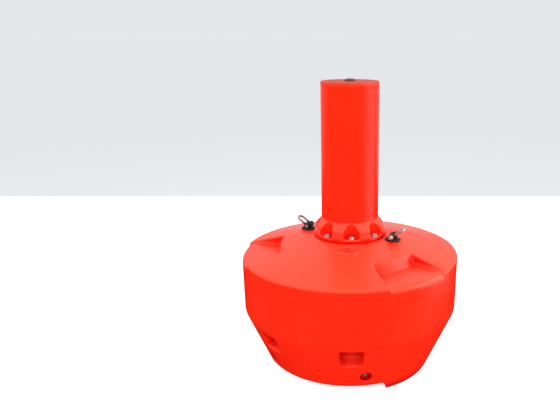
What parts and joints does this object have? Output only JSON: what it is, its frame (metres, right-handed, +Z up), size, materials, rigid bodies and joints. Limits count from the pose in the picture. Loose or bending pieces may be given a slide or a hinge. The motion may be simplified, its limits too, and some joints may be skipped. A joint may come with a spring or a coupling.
{
  "type": "navigation buoy",
  "caption": "Foam-filled moulded float on two moulded feet, with a bolted round tower, level lantern seat, lifting shackles on the deck and a recessed mooring eye.",
  "frame": {"origin": "on the buoy's axis, level with the underside of its two feet", "axes": "+Z up along the tower, -Y the front, +X towards the right lifting shackle"},
  "size_m": [1.2, 1.2, 1.577],
  "materials": {
    "shell": "satin moulded polyethylene",
    "tower_shell": "satin moulded polyethylene",
    "plate": "satin red paint",
    "cap": "matte",
    "galvanised": "hot-dip galvanised",
    "stainless": "satin stainless",
    "lug_coat": "black coating, rubbed in places"
  },
  "bodies": {
    "buoy": {"float_deck": "shell", "float_band": "shell", "float_base": "shell", "feet": "shell", "tower": "tower_shell", "lantern_plate": "plate", "cable_cap": "cap", "fill_plug": "shell", "drain_plugs": "stainless", "mooring_plate": "galvanised", "mooring_eye": "galvanised", "lug_right": "lug_coat", "lug_left": "lug_coat"},
    "shackle_right": {"shackle_bow_right": "galvanised", "shackle_pin_right": "stainless"},
    "shackle_left": {"shackle_bow_left": "galvanised", "shackle_pin_left": "stainless"}
  },
  "joints": [
    {"name": "shackle_right_hinge", "type": "hinge", "parent": "buoy", "child": "shackle_right", "pos_m": [0.256, 0, 0.76], "axis": [0, -1, 0], "range_deg": [-45, 100]},
    {"name": "shackle_left_hinge", "type": "hinge", "parent": "buoy", "child": "shackle_left", "pos_m": [-0.256, 0, 0.76], "axis": [0, 1, 0], "range_deg": [-45, 100]}
  ]
}
